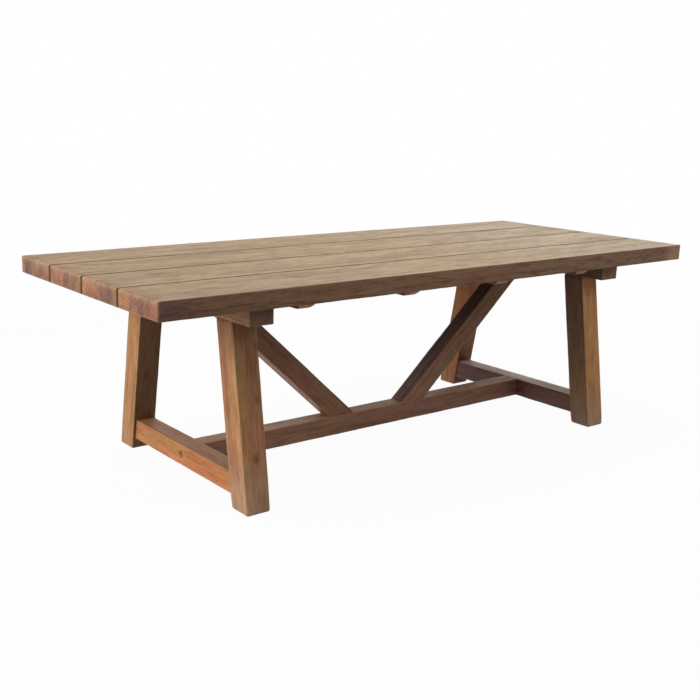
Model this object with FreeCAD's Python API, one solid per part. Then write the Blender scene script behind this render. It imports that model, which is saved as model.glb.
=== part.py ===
"""Trestle dining table of thick reclaimed teak, put together from separate beams and boards.

X runs along the table, Y across it and Z up. The origin is on the floor, under the
middle of the top. A trestle is drawn about its own middle plane, with its outer side
towards +X: the right trestle is that drawing moved out along X, and the left trestle
is the same drawing turned half round.
"""
import FreeCAD, Part
import math
import os

Vector = FreeCAD.Vector
ORIGIN = Vector(0, 0, 0)
ALONG = Vector(1, 0, 0)
ACROSS = Vector(0, 1, 0)
UP = Vector(0, 0, 1)

# Overall sizes, in millimetres
table_length = 2500.0
table_width = 1000.0
table_height = 750.0

# Top: planks side by side, with an open gap between neighbours
plank_names = ("front", "mid_front", "mid_back", "back")
plank_thickness = 62.0
plank_gap = 4.0
plank_arris = 3.0               # planed off every edge of a plank

# Battens: flat bars across the underside that keep the planks level
batten_names = ("outer_left", "inner_left", "inner_right", "outer_right")
batten_width = 66.0
batten_height = 26.0
batten_setback = 55.0           # from a long edge of the top in to a batten's end
batten_bearer_gap = 96.0        # between a bearer and the batten next to it
batten_chamfer = 12.0           # along both lower edges
batten_end_bevel = 12.0         # under each end

# Trestles: two leaning legs, a bearer over them and a low rail between them
end_overhang = 348.0            # from the end of the top to the outer face of a trestle
leg_section = 92.0              # legs are square across their own length
leg_splay = 9.0                 # degrees that a leg leans, towards a long side of the table
foot_setback = 55.0             # from a long edge of the top in to a foot's outer face
bearer_setback = 55.0           # from a long edge of the top in to a bearer's end
bearer_height = 62.0
rail_width = 75.0
rail_height = 75.0
rail_clearance = 43.0           # from the floor to the underside of rails and stretcher
rail_setback = 12.0             # from a leg's outer face in to the rail's outer face

# Stretcher and the two braces that rise from it
stretcher_width = 70.0
brace_width = 70.0
brace_depth = 78.0              # across a brace, in the plane that it leans in
brace_heel_gap = 254.0          # between the two braces, on top of the stretcher

# Planed edges
beam_arris = 3.0
foot_arris = 8.0

# Tenons and mortises
tenon_thickness = 30.0
joint_play = 0.25               # round each side of a tenon
joint_relief = 2.0              # past the end of a tenon
tenon_root = 6.0                # a tenon's drawing reaches this far back into its beam
leg_tenon_width = 60.0
leg_tenon_height = 40.0
rail_tenon_shoulder = 10.0      # above and below a rail's tenon
rail_tenon_length = 50.0
stretcher_tenon_height = 45.0
stretcher_tenon_length = 20.0
brace_foot_tenon_width = 60.0
brace_foot_tenon_length = 20.0
brace_head_tenon_height = 24.0
brace_head_tenon_length = 20.0

# Hexagon bolt that draws the stretcher up to a rail, its barrel nut and its wooden plug
bolt_diameter = 10.0
bolt_length = 110.0
bolt_head_height = 6.4
bolt_head_flats = 17.0
bolt_washer_diameter = 22.0
bolt_counterbore_diameter = 25.0
bolt_counterbore_depth = 20.0
barrel_nut_diameter = 14.0
barrel_nut_length = 30.0
barrel_nut_inset = 44.0         # from the stretcher's shoulder to the middle of the nut
plug_thickness = 6.0
plug_recess = 5.0               # from the rail's face in to the plug's face

# Coach screws under the bearers, under the stretcher and through the bearers
screw_diameter = 8.0
screw_length = 80.0
brace_head_screw_length = 120.0
screw_head_height = 5.3
screw_head_flats = 13.0
screw_counterbore_diameter = 22.0
screw_counterbore_depth = 20.0
washer_thickness = 2.0
hole_play = 0.3                 # round a shank or a nut
plug_play = 0.15
screw_tip_relief = 3.0          # past the tip of a screw

# Heights, faces and angles that follow from the sizes above
top_underside = table_height - plank_thickness
bearer_underside = top_underside - bearer_height
rail_top = rail_clearance + rail_height
rail_middle = rail_clearance + rail_height / 2
trestle_x = table_length / 2 - end_overhang - leg_section / 2
outer_face = leg_section / 2
inner_face = -leg_section / 2
rail_outer_face = outer_face - rail_setback
rail_inner_face = rail_outer_face - rail_width
shoulder_x = trestle_x + rail_inner_face
bearer_face_x = trestle_x + inner_face
lean = math.tan(math.radians(leg_splay))
leg_level_width = leg_section / math.cos(math.radians(leg_splay))
plank_count = len(plank_names)
plank_width = (table_width - plank_gap * (plank_count - 1)) / plank_count
outer_batten_x = bearer_face_x - batten_bearer_gap - batten_width / 2
batten_spacing = 2 * outer_batten_x / (len(batten_names) - 1)

# A brace's upper edge starts at its heel, and its lower edge runs out at the bearer's lower corner
brace_heel_x = brace_heel_gap / 2
brace_run = bearer_face_x - brace_heel_x
brace_rise = bearer_underside - rail_top
brace_angle = (math.atan2(brace_rise, brace_run)
               + math.asin(brace_depth / math.hypot(brace_rise, brace_run)))
brace_toe_x = brace_heel_x + brace_depth / math.sin(brace_angle)
brace_foot_middle_x = (brace_heel_x + brace_toe_x) / 2
brace_head_x = brace_heel_x + (top_underside - rail_top) / math.tan(brace_angle)
brace_head_middle_z = (bearer_underside + top_underside) / 2


# ---------------------------------------------------------------- plain shapes

def block(low, high):
    """A box between two opposite corners."""
    size = high - low
    return Part.makeBox(size.x, size.y, size.z, low)


def prism(corners, travel):
    """A flat outline of points carried along a straight line."""
    outline = Part.makePolygon(corners + corners[:1])
    return Part.Face(outline).extrude(travel)


def rod(radius, start, end):
    """A round bar between two points."""
    travel = end - start
    return Part.makeCylinder(radius, travel.Length, start, travel)


def runs_along(edge, direction):
    """Whether a straight edge points the given way."""
    span = edge.Vertexes[-1].Point - edge.Vertexes[0].Point
    return span.cross(direction).Length < 1e-6 * span.Length * direction.Length


def eased(shape, direction, width):
    """The shape with each edge that runs the given way planed off."""
    edges = [edge for edge in shape.Edges if runs_along(edge, direction)]
    return shape.makeChamfer(width, edges)


def mirrored(shape, normal):
    """The shape's mirror image in the plane through the origin."""
    return shape.mirror(ORIGIN, normal)


def at_right(shape):
    """A trestle drawing moved out to the right trestle's place."""
    moved = shape.copy()
    moved.translate(ALONG * trestle_x)
    return moved


def at_left(shape):
    """A trestle drawing turned half round, to the left trestle's place."""
    turned = at_right(shape)
    turned.rotate(ORIGIN, UP, 180)
    return turned


def at_both(shape):
    """A trestle drawing at the left and at the right."""
    return [at_left(shape), at_right(shape)]


# ---------------------------------------------------------------- fasteners

def hexagon(centre, along, flats, height):
    """A hexagonal prism that stands on a centre point."""
    radius = flats / math.sqrt(3)
    corners = []
    for index in range(6):
        turn = math.radians(60 * index)
        corners.append(Vector(radius * math.cos(turn), radius * math.sin(turn), 0))
    shape = prism(corners, UP * height)
    shape.Placement = FreeCAD.Placement(centre, FreeCAD.Rotation(UP, along))
    return shape


def washer(seat, along, diameter, bore):
    """A flat ring whose underside lies on its seat."""
    outer = rod(diameter / 2, seat - along * washer_thickness, seat)
    return outer.cut(rod(bore / 2, seat - along * washer_thickness, seat))


def bolt(under_head, along, diameter, length, flats, head_height):
    """A hexagon head on a plain shank that points along."""
    head = hexagon(under_head - along * head_height, along, flats, head_height)
    return head.fuse(rod(diameter / 2, under_head, under_head + along * length))


def coach_screw(seat, along, length):
    """A coach screw whose head bears on its seat."""
    return bolt(seat, along, screw_diameter, length, screw_head_flats, screw_head_height)


def coach_screw_hole(seat, along, length):
    """The counterbore and the pilot hole that a coach screw takes."""
    mouth = seat - along * screw_counterbore_depth
    bottom = seat + along * (length + screw_tip_relief)
    pocket = rod(screw_counterbore_diameter / 2, mouth, seat)
    return pocket.fuse(rod(screw_diameter / 2 + hole_play, seat, bottom))


# Places of the coach screws: the head's seat, the way that the screw points, and its length.
# The first two kinds are drawn on the trestle, and the last on the right half of the table.

def bearer_screws():
    """One screw up through the bearer into the middle of each plank, from front to back."""
    height = bearer_underside + screw_counterbore_depth
    seats = [Vector(0, plank_middle(index), height) for index in range(plank_count)]
    return [(seat, UP, screw_length) for seat in seats]


def brace_head_screw():
    """A screw from the bearer's outer face into the head of the brace."""
    seat = Vector(outer_face - screw_counterbore_depth, 0, brace_head_middle_z)
    return seat, -ALONG, brace_head_screw_length


def brace_foot_screw():
    """A screw from under the stretcher into the foot of the brace."""
    seat = Vector(brace_foot_middle_x, 0, rail_clearance + screw_counterbore_depth)
    return seat, UP, screw_length


# ---------------------------------------------------------------- top

def plank_middle(index):
    """Distance of a plank's middle from the table's, across the top."""
    return -table_width / 2 + plank_width / 2 + index * (plank_width + plank_gap)


def top_plank(index):
    """A full-length plank with worn edges, drilled from below for the bearers' screws."""
    middle = plank_middle(index)
    board = block(Vector(-table_length / 2, middle - plank_width / 2, top_underside),
                  Vector(table_length / 2, middle + plank_width / 2, table_height))
    board = board.makeChamfer(plank_arris, board.Edges)
    from_front, from_back = bearer_screws()[index], bearer_screws()[-1 - index]
    board = board.cut(at_right(coach_screw_hole(*from_front)))
    return board.cut(at_left(coach_screw_hole(*from_back)))


def batten(index):
    """A flat bar across the planks, chamfered below and bevelled under its ends."""
    middle = (index - (len(batten_names) - 1) / 2) * batten_spacing
    side = batten_width / 2
    underside = top_underside - batten_height
    end = table_width / 2 - batten_setback
    section = [Vector(middle - side, -end, top_underside),
               Vector(middle + side, -end, top_underside),
               Vector(middle + side, -end, underside + batten_chamfer),
               Vector(middle + side - batten_chamfer, -end, underside),
               Vector(middle - side + batten_chamfer, -end, underside),
               Vector(middle - side, -end, underside + batten_chamfer)]
    bar = prism(section, ACROSS * 2 * end)
    corner = [Vector(middle - side, -end, underside),
              Vector(middle - side, -end, underside + batten_end_bevel),
              Vector(middle - side, -end + batten_end_bevel, underside)]
    wedge = prism(corner, ALONG * batten_width)
    return bar.cut(wedge).cut(mirrored(wedge, ACROSS))


# ---------------------------------------------------------------- trestle

def leg_outer_y(height):
    """How far out a back leg's outer face is at a height."""
    return table_width / 2 - foot_setback - height * lean


def leg_inner_y(height):
    """How far out a back leg's inner face is at a height."""
    return leg_outer_y(height) - leg_level_width


def leg_tenon(play, relief):
    """The upright tenon on a back leg, or with play and relief its mortise in the bearer."""
    middle = leg_outer_y(bearer_underside) - leg_level_width / 2
    half_thick = tenon_thickness / 2 + play
    half_wide = leg_tenon_width / 2 + play
    return block(Vector(-half_thick, middle - half_wide, bearer_underside),
                 Vector(half_thick, middle + half_wide,
                        bearer_underside + leg_tenon_height + relief))


def rail_tenon(play, relief):
    """The tenon at a rail's back end, or with play and relief its mortise in the leg.

    It lies level, and its shoulder and its end lean with the leg.
    """
    middle = (rail_outer_face + rail_inner_face) / 2
    low = rail_clearance + rail_tenon_shoulder - play
    high = rail_top - rail_tenon_shoulder + play
    left = middle - tenon_thickness / 2 - play
    reach = rail_tenon_length + relief
    corners = [Vector(left, leg_inner_y(low) - tenon_root, low),
               Vector(left, leg_inner_y(low) + reach, low),
               Vector(left, leg_inner_y(high) + reach, high),
               Vector(left, leg_inner_y(high) - tenon_root, high)]
    return prism(corners, ALONG * (tenon_thickness + 2 * play))


def stretcher_tenon(play, relief):
    """The stub tenon on the stretcher, or with play and relief its mortise in the rail."""
    half_thick = tenon_thickness / 2 + play
    half_high = stretcher_tenon_height / 2 + play
    return block(Vector(rail_inner_face - tenon_root, -half_thick, rail_middle - half_high),
                 Vector(rail_inner_face + stretcher_tenon_length + relief, half_thick,
                        rail_middle + half_high))


def brace_head_tenon(play, relief):
    """The stub tenon on a brace's head, or with play and relief its mortise in the bearer."""
    half_thick = tenon_thickness / 2 + play
    half_high = brace_head_tenon_height / 2 + play
    return block(Vector(inner_face - tenon_root, -half_thick, brace_head_middle_z - half_high),
                 Vector(inner_face + brace_head_tenon_length + relief, half_thick,
                        brace_head_middle_z + half_high))


def back_leg():
    """A leaning square post with a level foot, a level shoulder and an upright tenon."""
    corners = [Vector(inner_face, leg_outer_y(0), 0),
               Vector(inner_face, leg_outer_y(bearer_underside), bearer_underside),
               Vector(inner_face, leg_inner_y(bearer_underside), bearer_underside),
               Vector(inner_face, leg_inner_y(0), 0)]
    post = prism(corners, ALONG * leg_section)
    foot = [edge for edge in post.Edges if edge.BoundBox.ZMax < foot_arris / 2]
    post = post.makeChamfer(foot_arris, foot)
    post = eased(post, Vector(0, -lean, 1), beam_arris)
    return post.fuse(leg_tenon(0, 0)).cut(rail_tenon(joint_play, joint_relief))


def bearer():
    """The beam over both legs, which the planks lie on."""
    half = table_width / 2 - bearer_setback
    beam = block(Vector(inner_face, -half, bearer_underside),
                 Vector(outer_face, half, top_underside))
    beam = eased(beam, ACROSS, beam_arris)
    mortise = leg_tenon(joint_play, joint_relief)
    beam = beam.cut(mortise).cut(mirrored(mortise, ACROSS))
    beam = beam.cut(brace_head_tenon(joint_play, joint_relief))
    for screw in bearer_screws() + [brace_head_screw()]:
        beam = beam.cut(coach_screw_hole(*screw))
    return beam


def rail_bolt_seat():
    """Bottom of the bolt's counterbore in the rail's outer face, and the bolt's direction."""
    return Vector(rail_outer_face - bolt_counterbore_depth, 0, rail_middle), -ALONG


def rail_bolt_hole():
    """The counterbore in the rail and the bolt's hole on into the stretcher."""
    seat, along = rail_bolt_seat()
    mouth = seat - along * bolt_counterbore_depth
    bottom = seat + along * (bolt_length + joint_relief)
    pocket = rod(bolt_counterbore_diameter / 2, mouth, seat)
    return pocket.fuse(rod(bolt_diameter / 2 + hole_play, seat, bottom))


def end_rail():
    """The low rail between the legs, with leaning shoulders and a tenon at each end."""
    corners = [Vector(rail_inner_face, -leg_inner_y(rail_clearance), rail_clearance),
               Vector(rail_inner_face, leg_inner_y(rail_clearance), rail_clearance),
               Vector(rail_inner_face, leg_inner_y(rail_top), rail_top),
               Vector(rail_inner_face, -leg_inner_y(rail_top), rail_top)]
    beam = eased(prism(corners, ALONG * rail_width), ACROSS, beam_arris)
    tenon = rail_tenon(0, 0)
    beam = beam.fuse(tenon).fuse(mirrored(tenon, ACROSS))
    return beam.cut(stretcher_tenon(joint_play, joint_relief)).cut(rail_bolt_hole())


# ---------------------------------------------------------------- stretcher and braces

def barrel_nut_middle():
    """Middle of the barrel nut, on the axis of the rail's bolt."""
    return Vector(rail_inner_face - barrel_nut_inset, 0, rail_middle)


def barrel_nut():
    """An upright steel barrel, bored across for the bolt."""
    middle = barrel_nut_middle()
    half = UP * (barrel_nut_length / 2)
    barrel = rod(barrel_nut_diameter / 2, middle - half, middle + half)
    reach = ALONG * barrel_nut_diameter
    return barrel.cut(rod(bolt_diameter / 2 + hole_play, middle - reach, middle + reach))


def barrel_nut_hole():
    """The blind hole up from the stretcher's underside that the barrel nut slides into."""
    middle = barrel_nut_middle()
    mouth = Vector(middle.x, middle.y, rail_clearance)
    top = middle + UP * (barrel_nut_length / 2 + hole_play)
    return rod(barrel_nut_diameter / 2 + hole_play, mouth, top)


def rail_plug():
    """The wooden disc that hides the bolt's head, sunk below the rail's face."""
    face = Vector(rail_outer_face - plug_recess, 0, rail_middle)
    return rod(bolt_counterbore_diameter / 2 - plug_play, face - ALONG * plug_thickness, face)


def brace_foot_tenon(play, relief):
    """The stub tenon under the right brace, or with play and relief its mortise."""
    half_thick = tenon_thickness / 2 + play
    half_wide = brace_foot_tenon_width / 2 + play
    return block(Vector(brace_foot_middle_x - half_wide, -half_thick,
                        rail_top - brace_foot_tenon_length - relief),
                 Vector(brace_foot_middle_x + half_wide, half_thick, rail_top))


def stretcher():
    """The long low beam between the two rails."""
    half_wide = stretcher_width / 2
    beam = block(Vector(-shoulder_x, -half_wide, rail_clearance),
                 Vector(shoulder_x, half_wide, rail_top))
    beam = eased(beam, ALONG, beam_arris)
    for tenon in at_both(stretcher_tenon(0, 0)):
        beam = beam.fuse(tenon)
    for hole in at_both(rail_bolt_hole()) + at_both(barrel_nut_hole()):
        beam = beam.cut(hole)
    screw_hole = coach_screw_hole(*brace_foot_screw())
    for pocket in (brace_foot_tenon(joint_play, joint_relief), screw_hole):
        beam = beam.cut(pocket).cut(mirrored(pocket, ALONG))
    return beam


def right_brace():
    """A leaning beam, level on the stretcher, level under the planks and upright on the bearer."""
    corners = [Vector(brace_heel_x, -brace_width / 2, rail_top),
               Vector(brace_head_x, -brace_width / 2, top_underside),
               Vector(bearer_face_x, -brace_width / 2, top_underside),
               Vector(bearer_face_x, -brace_width / 2, bearer_underside),
               Vector(brace_toe_x, -brace_width / 2, rail_top)]
    slope = Vector(math.cos(brace_angle), 0, math.sin(brace_angle))
    beam = eased(prism(corners, ACROSS * brace_width), slope, beam_arris)
    beam = beam.fuse(brace_foot_tenon(0, 0)).fuse(at_right(brace_head_tenon(0, 0)))
    foot_hole = coach_screw_hole(*brace_foot_screw())
    head_hole = at_right(coach_screw_hole(*brace_head_screw()))
    return beam.cut(foot_hole).cut(head_hole)


# ---------------------------------------------------------------- every piece by its name

def build_pieces():
    """All pieces of the table, as a dictionary from name to shape."""
    pieces = {}
    for index, name in enumerate(plank_names):
        pieces["top_plank_" + name] = top_plank(index)
    for index, name in enumerate(batten_names):
        pieces["batten_" + name] = batten(index)

    leg = back_leg()
    pieces["leg_back_right"] = at_right(leg)
    pieces["leg_front_right"] = at_right(mirrored(leg, ACROSS))
    pieces["leg_front_left"] = at_left(leg)
    pieces["leg_back_left"] = at_left(mirrored(leg, ACROSS))
    for name, shape in (("bearer", bearer()), ("end_rail", end_rail())):
        pieces[name + "_left"] = at_left(shape)
        pieces[name + "_right"] = at_right(shape)
    pieces["stretcher"] = stretcher()
    brace = right_brace()
    pieces["brace_right"] = brace
    pieces["brace_left"] = mirrored(brace, ALONG)

    seat, along = rail_bolt_seat()
    rail_bolt = bolt(seat - along * washer_thickness, along, bolt_diameter, bolt_length,
                     bolt_head_flats, bolt_head_height)
    rail_washer = washer(seat, along, bolt_washer_diameter, bolt_diameter + 2 * hole_play)
    pieces["rail_bolts"] = Part.makeCompound(at_both(rail_bolt))
    pieces["rail_bolt_washers"] = Part.makeCompound(at_both(rail_washer))
    pieces["barrel_nuts"] = Part.makeCompound(at_both(barrel_nut()))
    pieces["rail_plugs"] = Part.makeCompound(at_both(rail_plug()))

    foot_screw = coach_screw(*brace_foot_screw())
    pieces["brace_foot_screws"] = Part.makeCompound([foot_screw, mirrored(foot_screw, ALONG)])
    pieces["brace_head_screws"] = Part.makeCompound(at_both(coach_screw(*brace_head_screw())))
    plank_screws = Part.makeCompound([coach_screw(*place) for place in bearer_screws()])
    for name, shape in (("left", at_left(plank_screws)), ("right", at_right(plank_screws))):
        pieces["bearer_screws_" + name] = shape
    return pieces


def main():
    """Write each piece to its own STEP file."""
    os.makedirs("parts", exist_ok=True)
    for name, shape in build_pieces().items():
        shape.exportStep("parts/" + name + ".step")
        print(name, len(shape.Solids), "solid", round(shape.Volume / 1000), "cm3")
    print("brace angle", round(math.degrees(brace_angle), 1), "degrees")


main()
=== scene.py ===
"""Looks of a trestle dining table in reclaimed teak.

Every plank and beam is made anew as a worn one, in the place and at the size of its
construction node. Steel pieces and wooden plugs keep their shapes and get materials.
"""
import math
from types import SimpleNamespace
import bpy
import numpy as np
from mathutils import Matrix, Vector


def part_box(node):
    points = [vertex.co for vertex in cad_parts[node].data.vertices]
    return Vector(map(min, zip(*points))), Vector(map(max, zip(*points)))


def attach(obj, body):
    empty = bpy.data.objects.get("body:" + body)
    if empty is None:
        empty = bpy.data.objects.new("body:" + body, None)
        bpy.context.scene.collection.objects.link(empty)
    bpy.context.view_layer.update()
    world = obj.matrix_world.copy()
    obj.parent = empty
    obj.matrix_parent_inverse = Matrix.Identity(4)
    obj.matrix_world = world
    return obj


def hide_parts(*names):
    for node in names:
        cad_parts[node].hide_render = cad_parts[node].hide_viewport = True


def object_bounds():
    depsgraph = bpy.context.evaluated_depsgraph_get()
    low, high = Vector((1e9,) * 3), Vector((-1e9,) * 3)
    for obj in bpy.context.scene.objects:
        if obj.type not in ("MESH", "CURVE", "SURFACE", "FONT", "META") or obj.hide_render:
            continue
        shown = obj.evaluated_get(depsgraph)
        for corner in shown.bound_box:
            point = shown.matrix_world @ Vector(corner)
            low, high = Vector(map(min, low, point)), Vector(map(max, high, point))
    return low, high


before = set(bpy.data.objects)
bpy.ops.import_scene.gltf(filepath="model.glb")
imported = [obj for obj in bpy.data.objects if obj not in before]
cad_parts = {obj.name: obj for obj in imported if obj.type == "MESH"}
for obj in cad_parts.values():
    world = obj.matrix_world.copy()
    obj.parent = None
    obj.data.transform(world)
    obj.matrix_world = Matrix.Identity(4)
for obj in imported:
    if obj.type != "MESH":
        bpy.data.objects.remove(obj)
cad_low, cad_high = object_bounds()
scene = bpy.context.scene

MM = 0.001
X, Y, Z = np.eye(3)

# -------- sizes, in metres

# Construction sizes that no node's box gives
LEG_SPLAY = math.radians(9)
BRACE_DEPTH = 78 * MM
BATTEN_BEVEL = 12 * MM
SCREW_HEAD_FLATS = 13 * MM  # of a coach screw's hexagon head, whose corners point along X
SCREW_POCKET = (22 * MM, 20 * MM)  # diameter and depth round a coach screw's head
BOLT_POCKET = (25 * MM, 20 * MM)
NUT_POCKET = (14.6 * MM, 52.8 * MM)
BARREL_NUT_INSET = 44 * MM  # from the rail's inner face to a barrel nut's middle

# Rounding of edges along the grain
BEAM_ARRIS = 2.5 * MM
BEARER_ARRISES = (3 * MM, 0.8 * MM, 0.8 * MM, 3 * MM)  # its lower two are crisp
BATTEN_ARRISES = (1 * MM, 20 * MM, 3 * MM, 1 * MM)  # upper right, lower right, lower left, upper left
PLANK_ARRIS = 3.4 * MM  # beside a gap
OUTER_ARRISES = (3.5 * MM, 4 * MM)  # at the top's long sides, above and below
FOOT_WEAR = 4 * MM  # added at a leg's foot
FOOT_WEAR_REACH = 25 * MM  # how fast that dies away upward

# Rounding of the edges of ends
PLANK_EASE = 8.5 * MM
FOOT_EASE = 11 * MM
BEARER_EASE = 3 * MM
BATTEN_EASE = 1.5 * MM
SHOULDER_EASE = 1 * MM

# Other wear
SEAT = 1.5 * MM  # how far a shoulder reaches into the beam that it meets
SURFACE_WEAR = 0.5 * MM  # deepest hollow in a planed face
BATTEN_WEAR = 0.4 * MM
SMALLEST_ARRIS = 0.3 * MM
ARRIS_ROOM = 0.94  # share of a face that the roundings beside it may take

# Heads of the countersunk screws that hold the battens
SCREW_INSET = 40 * MM  # from a batten's end, at least
SCREW_SHARES = (0.25, 0.75)  # of the way across a plank
HEAD_SIDES = 16
HEAD_RADII = np.array([0, 1.1, 1.5, 3.4, 4.0, 4.0, 0]) * MM  # from its middle out
HEAD_DEPTHS = np.array([1.4, 1.4, 0.1, 0, 0.3, 2.0, 2.0]) * MM  # above the batten's underside

# Size of the mesh
BEAM_STEP = 12 * MM  # along the grain
FACE_STEP = 10 * MM  # across it
ARC_STEPS = 4  # round each long edge
EASE_STEPS = 4  # round each end
CAP_RINGS = 7  # from an end's middle to its edge
CUTTER_SIDES = 40
CUTTER_MOUTH = 2 * MM

SIDES = (("left", -1), ("right", 1))
ENDS = (("front", -1), ("back", 1))
ROWS = ("front", "mid_front", "mid_back", "back")
BATTENS = ("outer_left", "inner_left", "inner_right", "outer_right")
STEEL = ("rail_bolts", "rail_bolt_washers", "barrel_nuts", "brace_head_screws", "brace_foot_screws",
         "bearer_screws_left", "bearer_screws_right")


# -------- beams

# Corners of a beam's outline, as signs of its side and its up
CORNERS = ((1, 1), (-1, 1), (-1, -1), (1, -1))
ACROSS_SIDE = [1, 0, 3, 2]  # for each corner, the other one at its height
ACROSS_UP = [3, 2, 1, 0]  # and the other one above or below it


def unit(vector):
    """The vector at a length of one."""
    vector = np.asarray(vector, float)
    return vector / np.linalg.norm(vector)


def rolling(points, seed, lengths, waves=7):
    """Smooth relief of about -1 to 1: the mean of sine waves of random direction and phase.

    lengths are the typical wave lengths along the three axes of the points.
    """
    chance = np.random.default_rng(seed)
    rates = chance.normal(size=(waves, 3)) / np.asarray(lengths)
    phases = chance.uniform(0, 2 * np.pi, waves)
    return np.sin(points @ rates.T * 2 * np.pi + phases).mean(axis=-1) * 1.6


def beam_rows(steps):
    """Rows of a beam: out from the middle of its near end, round its edge by a quarter circle,
    along it, and back in the same way at the far end.

    Returns each row's share of the way, the end it faces (-1 near, 1 far), how far it has
    turned from that end, and its share of the outline's size.
    """
    edge = np.linspace(0, np.pi / 2, EASE_STEPS + 1)[1:-1]
    end = np.concatenate([np.zeros(CAP_RINGS), edge])
    share = np.concatenate([np.zeros(len(end)), np.linspace(0, 1, steps + 1), np.ones(len(end))])
    turned = np.concatenate([end, np.full(steps + 1, np.pi / 2), end[::-1]])
    grown = np.ones(len(share))
    grown[:CAP_RINGS] = np.linspace(0, 1, CAP_RINGS)
    grown[-CAP_RINGS:] = grown[:CAP_RINGS][::-1]
    return share, np.where(share < 0.5, -1.0, 1.0), turned, grown


def edge_radii(along, size, arrises, foot_wear, seed):
    """Radii of the four long edges in each row, under slow and quick waves, with the foot's wear.

    The two roundings beside a face leave some of it flat.
    """
    places = np.outer(along, X)
    radii = np.stack([arrises[index] * (1 + 0.4 * rolling(places, seed + index, (0.22, 1, 1))
                                        + 0.3 * rolling(places, seed + 4 + index, (0.06, 1, 1)))
                      for index in range(4)], axis=-1)
    radii = radii + foot_wear * np.exp(-places[:, :1] / FOOT_WEAR_REACH)
    side_room = size[0] / (radii + radii[:, ACROSS_SIDE])
    up_room = size[1] / (radii + radii[:, ACROSS_UP])
    return radii * np.minimum(1, ARRIS_ROOM * np.minimum(side_room, up_room))


def section(size, radii, inset):
    """Outline of a rounded rectangle, once round, for each row of a beam.

    Each corner is a quarter circle and each side a straight run between two. inset shrinks the
    outline. Returns the two coordinates, the outward direction and how near a corner a point is.
    """
    rows = len(inset)
    halves = np.array(size) / 2 - inset[:, None]
    radii = np.maximum(radii - inset[:, None], SMALLEST_ARRIS)
    arc = np.linspace(0, np.pi / 2, ARC_STEPS + 1)
    rounded = []
    for index, signs in enumerate(CORNERS):
        turn = arc + index * np.pi / 2
        way = np.stack([np.cos(turn), np.sin(turn)], axis=-1)
        middle = signs * (halves - radii[:, index, None])
        rounded.append((middle[:, None] + radii[:, index, None, None] * way,
                        np.broadcast_to(way, (rows,) + way.shape),
                        np.broadcast_to(np.sin(2 * arc), (rows, len(arc)))))
    outline = []
    for index, corner in enumerate(rounded):
        count = max(2, round(size[index % 2] / FACE_STEP))
        share = np.arange(1, count)[:, None] / count
        start, way = corner[0][:, -1:], corner[1][:, -1:]
        stop = rounded[(index + 1) % 4][0][:, :1]
        outline.append(corner)
        outline.append((start + share * (stop - start), np.repeat(way, count - 1, axis=1),
                        np.zeros((rows, count - 1))))
    return [np.concatenate(values, axis=1) for values in zip(*outline)]


def reach(planes, origin, axes, flat, nearest):
    """Where lines along a beam, given by their two coordinates in flat, meet one of its ends.

    The end is a cut of one plane or of two. nearest is min at the far end and max at the near.
    """
    along, side, up = axes
    found = []
    for point, normal in planes:
        normal = unit(normal)
        offset = np.dot(point - origin, normal)
        across = flat[..., 0] * np.dot(side, normal) + flat[..., 1] * np.dot(up, normal)
        found.append((offset - across) / np.dot(along, normal))
    return nearest.reduce(found)


def add_object(name, data):
    """A new object in the scene."""
    made = bpy.data.objects.new(name, data)
    scene.collection.objects.link(made)
    return made


def grid_mesh(name, points, arris=None):
    """A closed surface from rows of rings, of which the first and the last are single points.

    arris is how much of a rounded edge each point is on, for the material.
    """
    rows, ring = points.shape[:2]
    body = points[1:-1].reshape(-1, 3)
    vertices = np.concatenate([points[0, :1], body, points[-1, :1]])
    index = 1 + np.arange((rows - 2) * ring).reshape(rows - 2, ring)
    after = np.roll(index, -1, axis=1)
    quads = np.stack([index[:-1], after[:-1], after[1:], index[1:]], axis=-1).reshape(-1, 4)
    last = len(vertices) - 1
    low = np.stack([np.zeros(ring, int), after[0], index[0]], axis=-1)
    high = np.stack([np.full(ring, last), index[-1], after[-1]], axis=-1)
    mesh = bpy.data.meshes.new(name)
    mesh.from_pydata(vertices, [], quads.tolist() + low.tolist() + high.tolist())
    if arris is not None:
        values = np.concatenate([arris[0, :1], arris[1:-1].reshape(-1), arris[-1, :1]])
        layer = mesh.attributes.new("arris", "FLOAT", "POINT")
        layer.data.foreach_set("value", values.astype(np.float32))
    mesh.polygons.foreach_set("use_smooth", np.ones(len(mesh.polygons), bool))
    return add_object(name, mesh)


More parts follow.
